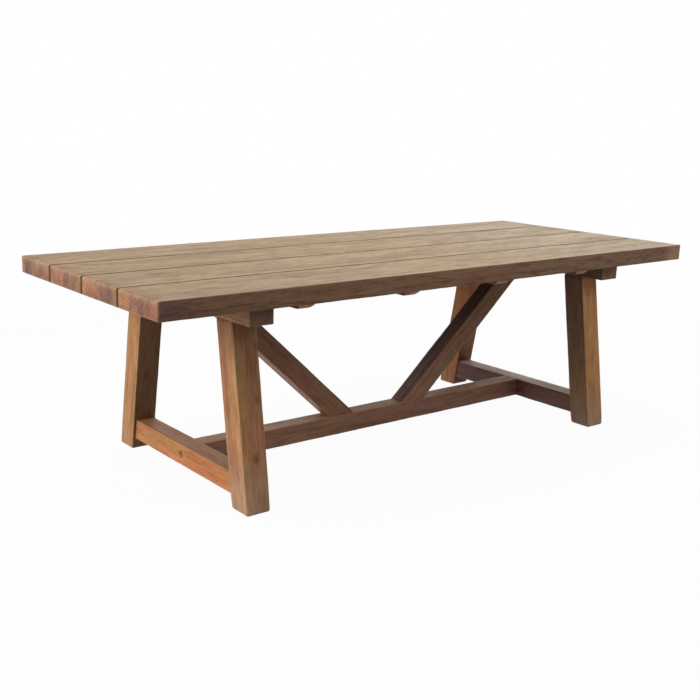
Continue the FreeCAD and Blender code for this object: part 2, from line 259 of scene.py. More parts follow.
def beam(name, origin, along, side, size, near, far, ease, seed,
         arrises=(BEAM_ARRIS,) * 4, wear=SURFACE_WEAR, foot_wear=0.0):
    """A worn beam: a rounded outline carried along the grain between two cut ends.

    near and far are the planes of the ends, size is the outline's width and height, and ease is
    the radius of the quarter circle round each end. Slow waves hollow the faces, only ever
    inward. foot_wear is what the long edges' radius gains at the near end.
    """
    along, side = unit(along), unit(side)
    axes = (along, side, np.cross(along, side))
    middle = np.zeros(2)
    span = reach(far, origin, axes, middle, np.minimum) - reach(near, origin, axes, middle, np.maximum)
    share, facing, turned, grown = beam_rows(max(4, round(span / BEAM_STEP)))
    to_end, to_side = np.cos(turned), np.sin(turned)

    radii = edge_radii(share * span, size, arrises, foot_wear, seed)
    flat, outward, corner = section(size, radii, ease * (1 - to_side))
    flat = flat * grown[:, None, None]
    start = reach(near, origin, axes, flat, np.maximum)
    stop = reach(far, origin, axes, flat, np.minimum)
    offset = ease * (1 + facing * to_end)
    length = start + offset[:, None] + share[:, None] * (stop - start - 2 * ease)
    local = np.concatenate([length[..., None], flat], axis=-1)

    endward = np.broadcast_to((facing * to_end)[:, None, None], corner.shape + (1,))
    normal = np.concatenate([endward, outward * to_side[:, None, None]], axis=-1)
    hollow = wear * (0.5 - 0.5 * np.clip(rolling(local, seed + 9, (0.5, 0.09, 0.09)), -1, 1))
    local = local - normal * hollow[..., None]
    rounding = np.maximum(corner * (1 - to_end)[:, None], np.sin(2 * turned)[:, None])
    axes = np.array(axes)
    piece = grid_mesh(name, origin + local @ axes, rounding)
    return SimpleNamespace(piece=piece, axes=axes, origin=origin)


def pocket(mouth, outward, diameter, depth):
    """Rows of a closed round cutter: two rings between the middles of its ends."""
    side = unit(np.cross(outward, [0.31, 0.95, 0.1]))
    up = np.cross(outward, side)
    turn = np.arange(CUTTER_SIDES) * 2 * np.pi / CUTTER_SIDES
    ring = diameter / 2 * (np.cos(turn)[:, None] * side + np.sin(turn)[:, None] * up)
    start = np.asarray(mouth) - outward * depth
    stop = np.asarray(mouth) + outward * CUTTER_MOUTH
    return np.stack([0 * ring + start, ring + start, ring + stop, 0 * ring + stop])


def drill(piece, pockets):
    """Cuts pockets into a piece, each given by its mouth, its outward direction and its size."""
    for mouth, outward, size in pockets:
        cutter = grid_mesh("cutter", pocket(mouth, outward, *size))
        cut = piece.modifiers.new("pocket", "BOOLEAN")
        cut.operation = "DIFFERENCE"
        cut.solver = "EXACT"
        cut.object = cutter
        graph = bpy.context.evaluated_depsgraph_get()
        made = bpy.data.meshes.new_from_object(piece.evaluated_get(graph), depsgraph=graph)
        piece.modifiers.clear()
        old = piece.data
        piece.data = made
        made.name = old.name
        bpy.data.meshes.remove(old)
        bpy.data.objects.remove(cutter)


# -------- nodes of a material

def node(tree, kind, sockets=None, **settings):
    """A new node, with its inputs set to values or joined to outputs."""
    made = tree.nodes.new(kind if kind.startswith("NodeGroup") else "ShaderNode" + kind)
    for key, value in settings.items():
        setattr(made, key, value)
    for key, value in (sockets or {}).items():
        if isinstance(value, bpy.types.NodeSocket):
            tree.links.new(value, made.inputs[key])
        else:
            made.inputs[key].default_value = value
    return made


def maths(tree, operation, *values):
    """The result of a sum on one, two or three values."""
    return node(tree, "Math", dict(enumerate(values)), operation=operation).outputs[0]


def vectors(tree, operation, *values):
    """The result of a sum on vectors: a vector, or a number for a length or a dot product."""
    made = node(tree, "VectorMath", dict(enumerate(values)), operation=operation)
    return made.outputs[1 if operation in ("LENGTH", "DOT_PRODUCT") else 0]


def parts(tree, vector):
    """The three numbers of a vector."""
    return node(tree, "SeparateXYZ", {0: vector}).outputs


def ramp(tree, value, low, high, start=0.0, stop=1.0):
    """Carries a value from low..high smoothly to start..stop."""
    made = node(tree, "MapRange", {0: value, 1: low, 2: high, 3: start, 4: stop},
                interpolation_type="SMOOTHSTEP")
    return made.outputs[0]


def mix(tree, share, first, second):
    """A colour between two."""
    return node(tree, "Mix", {0: share, 6: first, 7: second}, data_type="RGBA").outputs[2]


def tinted(tree, share, body, tint):
    """A colour multiplied by a tint, in part."""
    return node(tree, "Mix", {0: share, 6: body, 7: tint}, data_type="RGBA",
                blend_type="MULTIPLY").outputs[2]


def weighted(tree, *pairs):
    """The sum of values that are each multiplied by a weight."""
    total = 0.0
    for value, weight in pairs:
        total = maths(tree, "MULTIPLY_ADD", value, weight, total)
    return total


def times(tree, first, *others):
    """The product of several values."""
    for value in others:
        first = maths(tree, "MULTIPLY", first, value)
    return first


def apart(tree, first, second):
    """How far two values are from each other."""
    return maths(tree, "ABSOLUTE", maths(tree, "SUBTRACT", first, second))


def noise(tree, place, stretch, detail=2.0, rough=0.5):
    """Cloudy noise, stretched differently along each axis: as a value and as a colour."""
    scaled = vectors(tree, "MULTIPLY", place, stretch)
    return node(tree, "TexNoise", {"Vector": scaled, "Scale": 1.0, "Detail": detail,
                                   "Roughness": rough}).outputs


def colour(red, green, blue):
    """A colour given as the three display values from 0 to 255, in Blender's linear light."""
    shares = np.array([red, green, blue]) / 255
    linear = np.where(shares <= 0.04045, shares / 12.92, ((shares + 0.055) / 1.055) ** 2.4)
    return (*linear.tolist(), 1.0)


def new_group(name, inputs):
    """A node group that gives a surface its colour, roughness and height."""
    tree = bpy.data.node_groups.new(name, "ShaderNodeTree")
    for label, value in inputs.items():
        kind = "Float" if isinstance(value, float) else {3: "Vector", 4: "Color"}[len(value)]
        made = tree.interface.new_socket(label, in_out="INPUT", socket_type="NodeSocket" + kind)
        made.default_value = value
    for label, kind in (("Color", "Color"), ("Roughness", "Float"), ("Height", "Float")):
        tree.interface.new_socket(label, in_out="OUTPUT", socket_type="NodeSocket" + kind)
    return tree, node(tree, "NodeGroupInput").outputs


def new_material(name):
    """An empty material and its node tree."""
    made = bpy.data.materials.new(name)
    made.use_nodes = True
    made.node_tree.nodes.clear()
    return made, made.node_tree


def grouped_material(name, group, settings, relief, gloss, metallic=0.0, turn=None):
    """A material whose colour, roughness and height come from a shared group.

    relief is its bump's strength and depth. turn is the rotation and the shift that carry a
    place on the object into the group's axes.
    """
    made, tree = new_material(name)
    place = node(tree, "TexCoord").outputs["Object"]
    if turn:
        place = node(tree, "Mapping", {"Vector": place, "Rotation": turn[0],
                                       "Location": turn[1]}).outputs[0]
    surface = node(tree, "Group", {"Place": place, **settings}, node_tree=group).outputs
    bump = node(tree, "Bump", {"Height": surface["Height"], "Strength": relief[0],
                               "Distance": relief[1]})
    shader = node(tree, "BsdfPrincipled", {
        "Base Color": surface["Color"], "Roughness": surface["Roughness"], "Normal": bump.outputs[0],
        "Metallic": metallic, "Specular IOR Level": gloss})
    node(tree, "OutputMaterial", {"Surface": shader.outputs[0]})
    return made


# -------- reclaimed teak

FAR = 9.0  # a place beyond the end of every timber
TEAK_INPUTS = {
    "Place": (0, 0, 0),  # in the timber's own axes, x along the grain
    "Shift": (0, 0, 0),  # parts one timber's figure from another's
    "Along": (1, 0, 0),  # the grain's direction on the table
    "Pith": (0, 0.1, 0.1),  # from the rings' middle to the timber's
    "Early Wood": (0.4, 0.2, 0.1, 1),
    "Late Wood": (0.2, 0.1, 0.05, 1),
    "End Wood": (0.3, 0.15, 0.1, 1),
    "Weathered": (0.4, 0.3, 0.2, 1),
    "Worn": (0.5, 0.3, 0.15, 1),  # on edges along the grain
    "Worn Ends": (0.5, 0.3, 0.15, 1),
    "Figure": 0.6,  # strength of rings and streaks
    "Weathering": 0.5,  # on faces that look up
    "Weathered Rim": 0.0,  # on the upper part of the ends
    "Blotches": 0.3, "Cracks": 0.5, "Dullness": 0.5,
    "Washed To": -FAR,  # how far up from its foot the timber is pale
    "Soaked To": -FAR,  # how far along its first end is dark
    "Sheen From": FAR,  # where a painted sheen starts to turn the top paler and greyer
    "Pale Tip": (FAR - 1, FAR, 0),  # where its sides turn paler, are palest, and strength
    "Gap Shade Sides": (FAR, FAR, 0),  # two places across it where painted shade of a gap lies, and strength
    # painted shade on the side that looks one way, along a run of the length; a tint above one paints
    # light there
    "Shade Tint": (0.4, 0.4, 0.5, 1),
    "Shaded Side": (0, 0, 0),  # outward direction
    "Shade Run": (-FAR, 1 - FAR, 0),  # where it starts, where it is whole, and strength
    **{"Knot " + letter: (FAR, 0, 0) for letter in "ABC"},
    "Stave Edges": (FAR, FAR, FAR),
    **{"Stave " + letter: (1, 1, 1, 1) for letter in "ABCD"},
}

# Noises in the wood: waves in a metre along and across the grain, octaves and roughness
GRAIN = {
    "drift": (0.9, 5, 2, 0.5), "quiver": (9, 45, 3, 0.5),
    "crack_line": (2.2, 34, 3, 0.45), "crack_place": (1.7, 8, 1, 0.5),
    "fibre": (3.2, 150, 5, 0.62), "dashes": (9, 66, 4, 0.65), "ticks": (24, 210, 2, 0.6),
    "fine": (16, 700, 2, 0.6), "pores": (75, 1500, 1, 0.5),
    "patches": (2.4, 13, 3, 0.55), "mottle": (7, 34, 4, 0.6), "ruddy": (3.3, 24, 4, 0.6),
    "hue": (4, 22, 3, 0.6), "speckle": (40, 420, 2, 0.6), "smudge": (60, 60, 3, 0.6),
}
RINGS = (170.0, 3.0)  # waves in a metre from the pith, and octaves
BANDS = (30.0, 1.0)
DRIFT = 70 * MM  # how far the pith line wanders, slowly and quickly
QUIVER = 8 * MM
KNOT_EDGE = (2 * MM, 16 * MM)  # where it starts to fade, and where it is gone
KNOT_REACH, KNOT_BEND = 45 * MM, 16 * MM  # how far off rings bend, and by how much at most
STAVE_BLEND = 3 * MM  # half the width of the change between two staves' tints
GLUE_LINE = (0.2 * MM, 0.9 * MM)  # half widths of its dark and of its whole
GAP_SHADE_LINE = (3 * MM, 8 * MM)
CRACK_WIDTH = 0.011  # as a difference from the noise's middle value

RUDDY = (0.94, 0.76, 0.74, 1)  # tints
SMUDGED = (0.68, 0.62, 0.74, 1)
# painted sheen: a tint that turns the top paler and bluer towards its right end
SHEEN_TINT = (1.04, 1.17, 1.5, 1)
NEARLY_BLACK = (0.022, 0.01, 0.004, 1)  # colours in linear light
# painted shade beside the gaps between planks
GAP_SHADE = (0.1, 0.05, 0.013, 1)


def grain(tree, place, name, output=0):
    """One of the wood's noises: its value, or for output 1 its colour."""
    along, across, detail, rough = GRAIN[name]
    return noise(tree, place, (along, across, across), detail, rough)[output]


def knots(tree, place, given):
    """How much a knot shows at a place, and how far it bends the rings round it."""
    knot = 0.0
    swirl = 0.0
    for name in ("Knot A", "Knot B", "Knot C"):
        offset = vectors(tree, "MULTIPLY", vectors(tree, "SUBTRACT", place, given[name]), (0.6, 1, 1))
        distance = vectors(tree, "LENGTH", offset)
        knot = maths(tree, "MAXIMUM", knot, ramp(tree, distance, *KNOT_EDGE, 1.0, 0.0))
        swirl = maths(tree, "MAXIMUM", swirl, ramp(tree, distance, 0.0, KNOT_REACH, KNOT_BEND, 0.0))
    return knot, swirl


def growth_rings(tree, place, moved, swirl, pith):
    """Rings and broader bands: noise over the distance from a pith line that wanders."""
    for name, swing in (("drift", DRIFT), ("quiver", QUIVER)):
        wander = vectors(tree, "SUBTRACT", grain(tree, moved, name, 1), (0.5, 0.5, 0.5))
        place = vectors(tree, "MULTIPLY_ADD", wander, (0, swing, swing), place)
    bend = node(tree, "CombineXYZ", {0: 0.0, 1: swirl, 2: swirl}).outputs[0]
    place = vectors(tree, "ADD", vectors(tree, "ADD", place, bend), pith)
    radius = vectors(tree, "LENGTH", vectors(tree, "MULTIPLY", place, (0, 1, 1)))
    found = []
    for rate, detail in (RINGS, BANDS):
        made = node(tree, "TexNoise", {"W": maths(tree, "MULTIPLY", radius, rate), "Scale": 1.0,
                                       "Detail": detail, "Roughness": 0.6}, noise_dimensions="1D")
        found.append(ramp(tree, made.outputs[0], 0.34, 0.66))
    return found


def cracks(tree, moved):
    """Lines along the grain: where a long noise crosses its middle value, in some places only."""
    line = ramp(tree, apart(tree, grain(tree, moved, "crack_line"), 0.5), 0.0, CRACK_WIDTH, 1.0, 0.0)
    return times(tree, line, ramp(tree, grain(tree, moved, "crack_place"), 0.5, 0.62))


def staves(tree, across, given):
    """The tint of the stave that a place lies in, and the glue lines between the staves."""
    tint = given["Stave A"]
    glue = 0.0
    edges = parts(tree, given["Stave Edges"])
    for edge, name in zip(edges, ("Stave B", "Stave C", "Stave D")):
        beyond = maths(tree, "SUBTRACT", across, edge)
        tint = mix(tree, ramp(tree, beyond, -STAVE_BLEND, STAVE_BLEND), tint, given[name])
        line = ramp(tree, maths(tree, "ABSOLUTE", beyond), *GLUE_LINE, 1.0, 0.0)
        glue = maths(tree, "MAXIMUM", glue, line)
    return tint, glue


def surface_place(tree, given):
    """Where a point lies in its timber, which way it looks, and which clouds it lies in."""
    wood = SimpleNamespace(place=given["Place"])
    wood.moved = vectors(tree, "ADD", wood.place, given["Shift"])
    wood.length, wood.across, wood.upright = parts(tree, wood.place)
    wood.normal = node(tree, "TexCoord").outputs["Normal"]
    wood.facing_end = maths(tree, "ABSOLUTE", vectors(tree, "DOT_PRODUCT", wood.normal, given["Along"]))
    wood.ends = ramp(tree, wood.facing_end, 0.55, 0.85)
    wood.patches = grain(tree, wood.moved, "patches")
    wood.mottle = grain(tree, wood.moved, "mottle")
    wood.cloud = ramp(tree, wood.mottle, 0.35, 0.65, 0.8, 1.0)
    wood.upward = times(tree, ramp(tree, parts(tree, wood.normal)[2], 0.3, 0.9), given["Weathering"],
                        ramp(tree, wood.patches, 0.3, 0.6, 0.8, 1.0))
    return wood


def add_figure(tree, given, wood):
    """Rings, fibres, pores, cracks, knots and glue lines, and how much they mark the wood in all."""
    moved = wood.moved
    wood.knot, swirl = knots(tree, wood.place, given)
    wood.rings, wood.bands = growth_rings(tree, wood.place, moved, swirl, given["Pith"])
    wood.fibre = grain(tree, moved, "fibre")
    wood.dashes = ramp(tree, grain(tree, moved, "dashes"), 0.46, 0.68)
    wood.fine = grain(tree, moved, "fine")
    wood.pores = ramp(tree, grain(tree, moved, "pores"), 0.6, 0.72)
    wood.crack = times(tree, cracks(tree, moved), given["Cracks"])
    wood.tint, wood.glue = staves(tree, wood.across, given)
    ticks = ramp(tree, grain(tree, moved, "ticks"), 0.5, 0.7)
    figure = weighted(tree, (wood.rings, 0.13), (wood.bands, 0.1), (wood.fibre, 0.4),
                      (wood.dashes, 0.25), (ticks, 0.2), (wood.fine, 0.12))
    wood.figure = ramp(tree, figure, 0.3, 0.78)
    wood.marked = times(tree, wood.figure, given["Figure"])


def weathered_wood(tree, given, wood, share):
    """Weathered wood, in which a share of the figure still shows."""
    return mix(tree, times(tree, wood.marked, share), given["Weathered"], given["Late Wood"])


def sawn_wood(tree, given, wood):
    """End wood with its rings, speckle and dark smudges, in the tint of its stave."""
    speckle = grain(tree, wood.moved, "speckle")
    marks = weighted(tree, (wood.rings, 0.16), (wood.bands, 0.22), (speckle, 0.62))
    dark = mix(tree, 0.6, given["End Wood"], given["Late Wood"])
    body = mix(tree, ramp(tree, marks, 0.3, 0.75), given["End Wood"], dark)
    smudge = ramp(tree, grain(tree, wood.moved, "smudge"), 0.5, 0.7)
    return tinted(tree, 1.0, tinted(tree, smudge, body, SMUDGED), wood.tint)


def wavering(tree, wood, value, swing):
    """The value moved up and down by the mottle, by half the swing either way."""
    lower = maths(tree, "SUBTRACT", value, swing / 2)
    return maths(tree, "MULTIPLY_ADD", wood.mottle, swing, lower)


def with_ends(tree, given, wood, body, silver):
    """Adds the staves' tints, end wood with its weathered rim, and the soaked wood beside it."""
    sawn = sawn_wood(tree, given, wood)
    rim = ramp(tree, wavering(tree, wood, wood.upright, 0.02), 0.008, 0.03)
    rim = times(tree, rim, given["Weathered Rim"])
    body = mix(tree, times(tree, wood.upward, 0.85), tinted(tree, 0.45, body, wood.tint), body)
    body = mix(tree, wood.ends, body, mix(tree, rim, sawn, silver))
    short_of = maths(tree, "SUBTRACT", given["Soaked To"], wood.length)
    soak = ramp(tree, wavering(tree, wood, short_of, 0.22), 0.0, 0.06, 0.0, 0.6)
    return mix(tree, times(tree, soak, maths(tree, "SUBTRACT", 1.0, wood.ends)), body, sawn)


def with_washed_foot(tree, given, wood, body):
    """Adds the pale foot that water has left."""
    short_of = maths(tree, "SUBTRACT", given["Washed To"], wood.length)
    washed = ramp(tree, short_of, 0.0, 0.22, 0.0, 0.75)
    return mix(tree, washed, body, weathered_wood(tree, given, wood, 0.6))


def with_side_shade(tree, given, wood, body):
    """Adds painted shade on one side, over a part of the length; where the tint is above one it is
    painted light.
    """
    start, whole, strength = parts(tree, given["Shade Run"])
    facing = vectors(tree, "DOT_PRODUCT", wood.normal, given["Shaded Side"])
    shade_share = times(tree, ramp(tree, facing, 0.5, 0.85), ramp(tree, wood.length, start, whole),
                  strength, wood.cloud)
    return tinted(tree, shade_share, body, given["Shade Tint"])


def with_pale_tip(tree, given, wood, body):
    """Adds the paler last part of the sides, and a painted sheen that slowly turns the top paler and
    greyer along its length.
    """
    start, whole, strength = parts(tree, given["Pale Tip"])
    tip = times(tree, ramp(tree, wood.length, start, whole), strength, wood.cloud,
                maths(tree, "SUBTRACT", 1.0, wood.upward))
    body = mix(tree, tip, body, given["Worn Ends"])
    beyond = maths(tree, "SUBTRACT", wood.length, given["Sheen From"])
    return tinted(tree, times(tree, wood.upward, ramp(tree, beyond, 0.0, 1.0)), body, SHEEN_TINT)


def with_uneven_tone(tree, given, wood, body):
    """Adds blotches and slow changes of hue."""
    uneven = weighted(tree, (ramp(tree, wood.patches, 0.3, 0.7, -0.5, 0.5), 1.0),
                      (ramp(tree, wood.mottle, 0.3, 0.7, -0.5, 0.5), 0.8))
    tone = maths(tree, "MULTIPLY_ADD", uneven, given["Blotches"], 1.0)
    hue = ramp(tree, grain(tree, wood.moved, "hue"), 0.3, 0.7, 0.51, 0.489)
    return node(tree, "HueSaturation", {"Hue": hue, "Value": tone, "Color": body}).outputs[0]


def with_worn_edges(tree, given, wood, body):
    """Adds the scuffed wood of rounded edges, less where an edge turns to an end."""
    arris = node(tree, "Attribute", attribute_name="arris").outputs["Fac"]
    scuffed = times(tree, arris, ramp(tree, wood.patches, 0.35, 0.6, 0.25, 0.8),
                    ramp(tree, wood.facing_end, 0.05, 0.35, 1.0, 0.5))
    worn = mix(tree, ramp(tree, wood.facing_end, 0.05, 0.35), given["Worn"], given["Worn Ends"])
    return mix(tree, scuffed, body, worn)


def with_dark_lines(tree, given, wood, body):
    """Adds dark pores, cracks, knots and glue lines, and painted shade beside the gaps between planks.
    """
    shade = times(tree, wood.pores, 0.4)
    for mask, share in ((wood.glue, 0.35), (wood.crack, 0.8), (wood.knot, 0.6)):
        shade = maths(tree, "MAXIMUM", shade, times(tree, mask, share))
    body = mix(tree, shade, body, mix(tree, 0.65, given["Late Wood"], NEARLY_BLACK))
    low_side, high_side, strength = parts(tree, given["Gap Shade Sides"])
    near, far = apart(tree, wood.across, low_side), apart(tree, wood.across, high_side)
    gap_shade = ramp(tree, maths(tree, "MINIMUM", near, far), *GAP_SHADE_LINE, 1.0, 0.0)
    gap_shade = times(tree, gap_shade, strength, 0.9)
    return mix(tree, gap_shade, body, GAP_SHADE)


def teak_group():
    """Reclaimed teak, from a place in the timber's own axes.

    Growth rings lie round a pith line beside the timber. Fibres, dashes and pores are noise
    that is stretched along the grain, and cracks are where such a noise crosses its middle
    value. Faces that look up are weathered, ends show end wood, and rounded edges are worn.
    Up to three glue lines part the timber into staves of slightly different tone.
    """
    tree, given = new_group("reclaimed_teak", TEAK_INPUTS)
    wood = surface_place(tree, given)
    add_figure(tree, given, wood)
    body = mix(tree, wood.marked, given["Early Wood"], given["Late Wood"])
    ruddy = ramp(tree, grain(tree, wood.moved, "ruddy"), 0.46, 0.62)
    body = tinted(tree, times(tree, ruddy, 0.55), body, RUDDY)
    silver = weathered_wood(tree, given, wood, 0.7)
    body = mix(tree, wood.upward, body, silver)
    body = with_ends(tree, given, wood, body, silver)
    for step in (with_washed_foot, with_side_shade, with_pale_tip, with_uneven_tone, with_worn_edges,
                 with_dark_lines):
        body = step(tree, given, wood, body)
    rough = maths(tree, "ADD", given["Dullness"], ramp(tree, wood.figure, 0, 1, -0.04, 0.1))
    height = weighted(tree, (wood.fibre, 0.5), (wood.dashes, -0.15), (wood.rings, 0.12),
                      (wood.fine, 0.15), (wood.pores, -0.4), (wood.crack, -1.5), (wood.glue, -0.3))
    node(tree, "NodeGroupOutput", {"Color": body, "Roughness": rough, "Height": height})
    return tree


TEAK = teak_group()


# -------- finishes

FRAME_GLOSS, PLANK_GLOSS, ZINC_GLOSS = 0.25, 0.22, 0.5
RAIL_GLOSS = {"left": FRAME_GLOSS, "right": 0.4}
TEAK_RELIEF = (0.5, 1.2 * MM)  # strength and depth of a surface's bump
PLUG_RELIEF = (0.5, 0.8 * MM)
ZINC_RELIEF = (0.4, 0.2 * MM)


def tones(early, late=None, end=None):
    """Settings of the wood's own tones, from display values."""
    names = ("Early Wood", "Late Wood", "End Wood")
    return {name: colour(*value) for name, value in zip(names, (early, late, end)) if value}


def shaded_side(side, tint, run=(-FAR, 1 - FAR, 1)):
    """Settings of painted shade on the side that looks in a direction, by default all along it."""
    return {"Shaded Side": side, "Shade Tint": (*tint, 1), "Shade Run": run}


FRAME_FINISH = {
    **tones((204, 148, 100), (118, 72, 46), (158, 116, 90)), "Weathered": colour(188, 154, 126),
    "Worn": colour(212, 160, 112), "Worn Ends": colour(212, 160, 112),
    "Weathering": 0.8, "Figure": 0.52, "Blotches": 0.26, "Cracks": 0.35,
}
# Each leg has painted shade on the faces that lie in shadow under the table top, between the legs and
# beside its rail.
LEG_FINISH = {
    "front_left": {
        "Knot A": (0.537, 0.039, -0.045), "Knot B": (0.37, 0.027, -0.045),
        "Knot C": (0.177, 0.005, -0.045), "Weathered": colour(205, 163, 132), "Washed To": 0.24,
        **shaded_side((-0.62, -0.78, 0), (0.33, 0.34, 0.35), (0.05, 0.6, 1))},
    "back_left": {
        **tones((193, 141, 87), (110, 68, 39)), "Knot A": (0.309, -0.005, -0.045), "Washed To": 0.12,
        **shaded_side(-Y, (0.34, 0.35, 0.48), (-0.3, -0.1, 1))},
    "front_right": {
        **tones((204, 147, 88)), "Washed To": 0.2, **shaded_side(-X, (0.3, 0.38, 0.64), (-0.5, 0.45, 1))},
    "back_right": {
        **tones((212, 142, 88)), "Washed To": 0.12, **shaded_side(-Y, (0.26, 0.2, 0.22), (0.3, 0.12, 1))},
}
RAIL_FINISH = {
    "left": {**tones((213, 141, 85), (148, 83, 44)), "Weathered": colour(146, 118, 86)},
    # The right rail's near-white weathered top is partly painted sheen, and its inner face has painted
    # shade.
    "right": {**tones((200, 150, 110), (130, 90, 70)), "Weathered": colour(255, 228, 208),
              "Figure": 0.15, "Weathering": 1, **shaded_side(-X, (0.17, 0.1, 0.14))},
}
# Its front face has painted shade towards the right rail.
STRETCHER_FINISH = {**tones((157, 113, 89), (89, 59, 45)), "Weathered": colour(178, 140, 110),
                    **shaded_side(-Y, (0.5, 0.5, 0.58), (0.68, 0.85, 1))}
BEARER_FINISH = {
    "left": tones((212, 158, 114), (132, 88, 58), (112, 88, 70)),
    # The right bearer's inner side has painted shade under the top.
    "right": {**tones((160, 118, 90), (96, 64, 44), (134, 91, 60)), **shaded_side(-X, (0.45, 0.42, 0.42))},
}
# The left brace's underside has painted light from below, and the right brace's upper face has painted
# shade.
BRACE_FINISH = {
    "left": {**tones((150, 110, 82), (84, 56, 38)), "Weathering": 0.1,
             **shaded_side((-0.67, 0, -0.74), (1.4, 1.09, 0.92))},
    "right": {**tones((166, 124, 96), (92, 60, 44)), "Weathering": 0.0,
              **shaded_side((-0.67, 0, 0.74), (0.4, 0.44, 0.56))},
}
# The battens' left sides have painted shade, and their bright end wood is partly painted light from the
# floor below.
CLEAT_FINISH = {**tones((196, 140, 96)), "End Wood": colour(236, 176, 126),
                "Worn": colour(226, 168, 118), **shaded_side(-X, (0.5, 0.42, 0.38))}


# -------- pieces

SHIFTS = (3, 40)  # of one timber's figure
PITH_OFFSETS = (50 * MM, 120 * MM)  # from a timber's middle to its pith, sideways and upward


def timber(made, node_name, finish, seed, gloss=FRAME_GLOSS):
    """Gives a beam its own teak, turned to its grain, and lets it stand for its node."""
    piece, axes, origin = made.piece, made.axes, made.origin
    chance = np.random.default_rng(seed)
    settings = {"Along": axes[0], "Shift": chance.uniform(*SHIFTS, 3),
                "Pith": (0, *(chance.uniform(*PITH_OFFSETS, 2) * chance.choice([-1, 1], 2))),
                **FRAME_FINISH, **finish}
    turn = (Matrix(axes.tolist()).to_euler("XYZ"), -(axes @ origin))
    material = grouped_material("teak_" + piece.name, TEAK, settings, TEAK_RELIEF, gloss, turn=turn)
    piece.data.materials.clear()
    piece.data.materials.append(material)
    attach(piece, "root")
    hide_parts(node_name)


def corners(node_name):
    """A node's lowest and highest corners as arrays."""
    low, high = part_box(node_name)
    return np.array(low), np.array(high)


def straight(name, low, high, along, side, ease, seed, arrises=(BEAM_ARRIS,) * 4):
    """A beam that fills a box, with square ends."""
    middle, size = (low + high) / 2, high - low
    outline = (abs(np.dot(size, side)), abs(np.dot(size, np.cross(along, side))))
    near = middle - along * abs(np.dot(size, along)) / 2
    far = 2 * middle - near
    return beam(name, middle, along, side, outline, [(near, along)], [(far, along)], ease, seed,
                arrises)


HALF_PLANK = np.subtract(*corners("top_plank_front"))[1] / -2
ORANGE, PINK = (1.25, 1.17, 0.98, 1), (1.06, 0.97, 0.96, 1)
BROWN, PURPLE = (0.85, 0.92, 0.9, 1), (0.66, 0.64, 0.78, 1)
PLANK_FINISH = {
    **tones((138, 106, 80), (80, 50, 30), (160, 113, 84)),
    "Weathered": colour(173, 145, 105), "Worn": colour(118, 90, 66), "Worn Ends": colour(186, 146, 110),
    "Dullness": 0.52, "Figure": 0.8, "Weathering": 1.0, "Weathered Rim": 0.55, "Blotches": 0.2,
    # the top's painted sheen starts a little left of the middle and grows to the right
    "Cracks": 0.8, "Soaked To": cad_low[0] + 55 * MM, "Sheen From": -100 * MM,
    # painted shade on the plank sides beside the gaps
    "Gap Shade Sides": (-HALF_PLANK, HALF_PLANK, 1),
}
PLANK_OWN = {
    "front": {
        "Stave Edges": (-0.042, -0.003, 0.047), "Stave A": PINK, "Stave B": PURPLE, "Stave C": BROWN,
        "Stave D": ORANGE, "Gap Shade Sides": (FAR, HALF_PLANK, 1), "Worn": colour(84, 62, 46),
        # its front face darker towards the left end, and paler at the right end
        "Pale Tip": (1.12, 1.2, 0.9), **shaded_side(-Y, (0.5, 0.66, 0.86), (-1.08, -1.2, 0.8))},
    "mid_front": {
        "Stave Edges": (-0.078, -0.01, 0.02), "Stave A": BROWN, "Stave B": PURPLE, "Stave C": PINK,
        "Stave D": ORANGE},
    "mid_back": {
        "Stave Edges": (-0.03, 0.012, FAR), "Stave A": BROWN, "Stave B": PURPLE, "Stave C": PINK},
    "back": {
        "Stave Edges": (-0.085, 0.03, 0.085), "Stave A": PINK, "Stave B": BROWN, "Stave C": PURPLE,
        "Stave D": PINK, "Gap Shade Sides": (-HALF_PLANK, FAR, 1)},
}
PLANK_ARRISES = {
    "front": (PLANK_ARRIS, *OUTER_ARRISES, PLANK_ARRIS),
    "back": (OUTER_ARRISES[0], PLANK_ARRIS, PLANK_ARRIS, OUTER_ARRISES[1]),
}


def planks():
    """The four planks of the top."""
    for index, row in enumerate(ROWS):
        made = straight("plank_" + row, *corners("top_plank_" + row), X, Y, PLANK_EASE,
                        100 + 20 * index, PLANK_ARRISES.get(row, (PLANK_ARRIS,) * 4))
        timber(made, "top_plank_" + row, {**PLANK_FINISH, **PLANK_OWN[row]}, 10 + index,
               PLANK_GLOSS)


def cleats():
    """The battens across the top's underside, each bevelled below at both ends."""
    for index, row in enumerate(BATTENS):
        low, high = corners("batten_" + row)
        size = high - low
        near = [(low, Y), (low + Z * BATTEN_BEVEL, Y + Z)]
        far = [(high, Y), (high - Z * (size[2] - BATTEN_BEVEL), Y - Z)]
        made = beam("cleat_" + row, (low + high) / 2, Y, Z, (size[2], size[0]), near, far,
                    BATTEN_EASE, 300 + 20 * index, BATTEN_ARRISES, BATTEN_WEAR)
        timber(made, "batten_" + row, CLEAT_FINISH, 30 + index)


def post(side_name, end_name, sign_y, order):
    """A leaning leg, cut level at the floor and under its bearer."""
    name = end_name + "_" + side_name
    low, high = corners("leg_" + name)
    size = high[0] - low[0]
    outer = max(abs(low[1]), abs(high[1]))
    foot = np.array([(low[0] + high[0]) / 2, sign_y * (outer - size / math.cos(LEG_SPLAY) / 2), 0])
    top = Z * (corners("bearer_right")[0][2] + SEAT)
    along = Z * math.cos(LEG_SPLAY) - Y * sign_y * math.sin(LEG_SPLAY)
    made = beam("post_" + name, foot, along, X, (size, size), [(foot, Z)], [(top, Z)],
                FOOT_EASE, 400 + 20 * order, foot_wear=FOOT_WEAR)
    timber(made, "leg_" + name, LEG_FINISH[name], 40 + order)


def outer_middle(low, high, sign_x):
    """The middle of a box's outer face, on the left or on the right."""
    return np.array([high[0] if sign_x > 0 else low[0], 0, (low[2] + high[2]) / 2])


